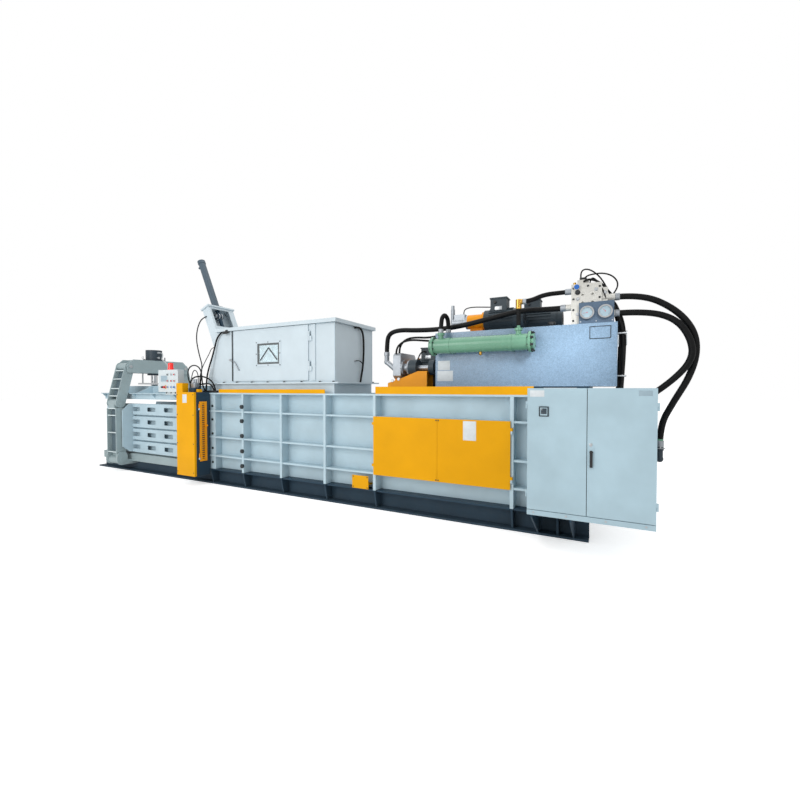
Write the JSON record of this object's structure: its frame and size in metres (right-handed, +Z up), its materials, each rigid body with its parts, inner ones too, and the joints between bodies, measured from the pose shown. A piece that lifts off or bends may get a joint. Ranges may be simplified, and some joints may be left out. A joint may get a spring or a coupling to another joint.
{
  "type": "recycling baler",
  "caption": "Horizontal recycling baler with feed hopper, ram chamber, wire tying frame, squeeze gate, hydraulic power pack and electrical cabinet.",
  "frame": {"origin": "on the floor below the middle of the skid, at the underside of the cross member there", "axes": "+X along the machine towards the power pack and main cylinder, bales leave at -X; +Y away from the operator side; +Z up"},
  "size_m": [10.2495, 3.09, 3.9267],
  "materials": {
    "base_paint": "charcoal blue, satin",
    "body_paint": "pale blue-grey, satin",
    "wear_plate": "worn plate",
    "blade_steel": "ground",
    "black_bolts": "black oxide",
    "yellow_paint": "warm yellow, satin",
    "hinge_steel": "plain",
    "ram_paint": "grey, worn",
    "rod_chrome": "polished",
    "cylinder_paint": "charcoal, satin",
    "portal_paint": "mid grey, satin",
    "box_paint": "light blue-grey, satin",
    "red_lens": "clear red",
    "red_plastic": "red",
    "blue_plastic": "blue",
    "black_plastic": "black",
    "clear_pane": "clear",
    "grey_cylinder": "grey, satin",
    "tank_paint": "metallic blue-grey",
    "green_paint": "sea green, gloss",
    "orange_paint": "orange, satin",
    "motor_paint": "charcoal",
    "pump_metal": "cast silver",
    "block_steel": "zinc plated",
    "hose_rubber": "black hose"
  },
  "bodies": {
    "frame": {"base_skid": "base_paint", "side_wall_front": "body_paint", "side_wall_rear": "body_paint", "chamber_floor": "wear_plate", "roof_plates": "body_paint", "shear_blade": "blade_steel", "rear_end_frame": "body_paint", "wall_bolts": "black_bolts", "trim_strips": "yellow_paint", "door_hinges": "hinge_steel", "main_cylinder": "cylinder_paint", "exit_frame": "portal_paint", "tying_frame": "base_paint", "tying_cover": "yellow_paint", "control_box": "box_paint", "beacon": "red_lens", "hopper": "body_paint", "press_tower": "body_paint", "press_cylinder": "grey_cylinder", "power_deck": "base_paint", "power_tank": "tank_paint", "oil_cooler": "green_paint", "bell_housings": "orange_paint", "pump_motors": "motor_paint", "oil_pumps": "pump_metal", "valve_manifold": "block_steel", "gauge_panel": "tank_paint", "cabinet_body": "box_paint", "cabinet_brackets": "base_paint", "loop_hose_upper": "hose_rubber", "loop_hose_lower": "hose_rubber", "pressure_hose": "hose_rubber", "cooler_hose": "hose_rubber", "tee_hose": "hose_rubber"},
    "ram": {"ram_platen": "ram_paint", "ram_rod": "rod_chrome"},
    "top_press": {"top_press_plate": "body_paint"},
    "side_near": {"side_press_near": "body_paint"},
    "side_far": {"side_press_far": "body_paint"},
    "lower_near": {"arm_lower_near": "portal_paint"},
    "lower_far": {"arm_lower_far": "portal_paint"},
    "upper_near": {"arm_upper_near": "portal_paint"},
    "upper_far": {"arm_upper_far": "portal_paint"},
    "beam": {"squeeze_beam": "portal_paint", "squeeze_cylinder": "cylinder_paint"},
    "rod": {"squeeze_rod": "rod_chrome"},
    "needles": {"needle_carriage": "base_paint"},
    "guard": {"guard_door": "yellow_paint"},
    "hatch": {"hopper_door": "body_paint", "door_window": "clear_pane"},
    "service_left": {"service_door_left": "yellow_paint"},
    "service_right": {"service_door_right": "yellow_paint"},
    "cab_left": {"cabinet_door_left": "box_paint"},
    "cab_right": {"cabinet_door_right": "box_paint"},
    "cab_handle": {"cabinet_handle": "black_plastic"},
    "pusher": {"press_pusher": "body_paint"},
    "stop": {"stop_button": "red_plastic"},
    "start": {"start_button": "blue_plastic"},
    "switch": {"selector_switch": "black_plastic"}
  },
  "joints": [
    {"name": "ram_stroke", "type": "slide", "parent": "frame", "child": "ram", "axis": [-1, 0, 0], "range_m": [0, 2.4]},
    {"name": "top_plate_press", "type": "hinge", "parent": "frame", "child": "top_press", "pos_m": [-1.69, 0, 1.452], "axis": [0, -1, 0], "range_deg": [0, 1.6]},
    {"name": "side_near_press", "type": "hinge", "parent": "frame", "child": "side_near", "pos_m": [-1.69, -0.5, 0.835], "axis": [0, 0, -1], "range_deg": [0, 0.68]},
    {"name": "side_far_press", "type": "hinge", "parent": "frame", "child": "side_far", "pos_m": [-1.69, 0.5, 0.835], "axis": [0, 0, 1], "range_deg": [0, 0.68]},
    {"name": "lower_near_swing", "type": "hinge", "parent": "frame", "child": "lower_near", "pos_m": [-3.7, -0.735, 0.228], "axis": [-1, 0, 0], "range_deg": [0, 2.5]},
    {"name": "lower_far_swing", "type": "hinge", "parent": "frame", "child": "lower_far", "pos_m": [-3.7, 0.735, 0.228], "axis": [1, 0, 0], "range_deg": [0, 2.5]},
    {"name": "upper_near_swing", "type": "hinge", "parent": "lower_near", "child": "upper_near", "pos_m": [-3.7, -0.735, 1.32], "axis": [1, 0, 0], "range_deg": [0, 6.3]},
    {"name": "upper_far_swing", "type": "hinge", "parent": "lower_far", "child": "upper_far", "pos_m": [-3.7, 0.735, 1.32], "axis": [-1, 0, 0], "range_deg": [0, 6.3]},
    {"name": "beam_lift", "type": "slide", "parent": "frame", "child": "beam", "axis": [0, 0, 1], "range_m": [0, 0.009]},
    {"name": "rod_press", "type": "slide", "parent": "beam", "child": "rod", "axis": [0, 0, -1], "range_m": [0, 0.0648]},
    {"name": "needle_travel", "type": "slide", "parent": "frame", "child": "needles", "axis": [0, -1, 0], "range_m": [0, 1.02]},
    {"name": "guard_swing", "type": "hinge", "parent": "frame", "child": "guard", "pos_m": [-1.153, -0.816, 0.898], "axis": [0, 0, -1], "range_deg": [0, 110]},
    {"name": "hatch_swing", "type": "hinge", "parent": "frame", "child": "hatch", "pos_m": [0.885, -0.524, 2.14], "axis": [0, 0, 1], "range_deg": [0, 110]},
    {"name": "service_left_swing", "type": "hinge", "parent": "frame", "child": "service_left", "pos_m": [2.038, -0.634, 0.8535], "axis": [0, 0, -1], "range_deg": [0, 110]},
    {"name": "service_right_swing", "type": "hinge", "parent": "frame", "child": "service_right", "pos_m": [3.84, -0.634, 0.8535], "axis": [0, 0, 1], "range_deg": [0, 95]},
    {"name": "cab_left_swing", "type": "hinge", "parent": "frame", "child": "cab_left", "pos_m": [4.067, -1.029, 1], "axis": [0, 0, -1], "range_deg": [0, 95]},
    {"name": "cab_right_swing", "type": "hinge", "parent": "frame", "child": "cab_right", "pos_m": [5.183, -1.029, 1], "axis": [0, 0, 1], "range_deg": [0, 110]},
    {"name": "cab_handle_turn", "type": "hinge", "parent": "cab_right", "child": "cab_handle", "pos_m": [4.654, -1.045, 1.01], "axis": [0, 1, 0], "range_deg": [0, 90]},
    {"name": "pusher_stroke", "type": "slide", "parent": "frame", "child": "pusher", "axis": [0.4067, 0, -0.9135], "range_m": [0, 0.45]},
    {"name": "stop_press", "type": "slide", "parent": "frame", "child": "stop", "axis": [0, 1, 0], "range_m": [0, 0.008], "stiffness_N_per_m": 300},
    {"name": "start_press", "type": "slide", "parent": "frame", "child": "start", "axis": [0, 1, 0], "range_m": [0, 0.005], "stiffness_N_per_m": 300},
    {"name": "switch_turn", "type": "hinge", "parent": "frame", "child": "switch", "pos_m": [-2.106, -0.82, 1.626], "axis": [0, 1, 0], "range_deg": [-45, 45]}
  ],
  "couplings": [
    {"joint": "side_near_press", "follows": "top_plate_press", "ratio": 0.425},
    {"joint": "side_far_press", "follows": "top_plate_press", "ratio": 0.425},
    {"joint": "lower_near_swing", "follows": "top_plate_press", "ratio": 1.5625},
    {"joint": "lower_far_swing", "follows": "top_plate_press", "ratio": 1.5625},
    {"joint": "upper_near_swing", "follows": "top_plate_press", "ratio": 3.9375},
    {"joint": "upper_far_swing", "follows": "top_plate_press", "ratio": 3.9375},
    {"joint": "beam_lift", "follows": "top_plate_press", "m_per_rad": 0.32229},
    {"joint": "rod_press", "follows": "top_plate_press", "m_per_rad": 2.3205}
  ]
}
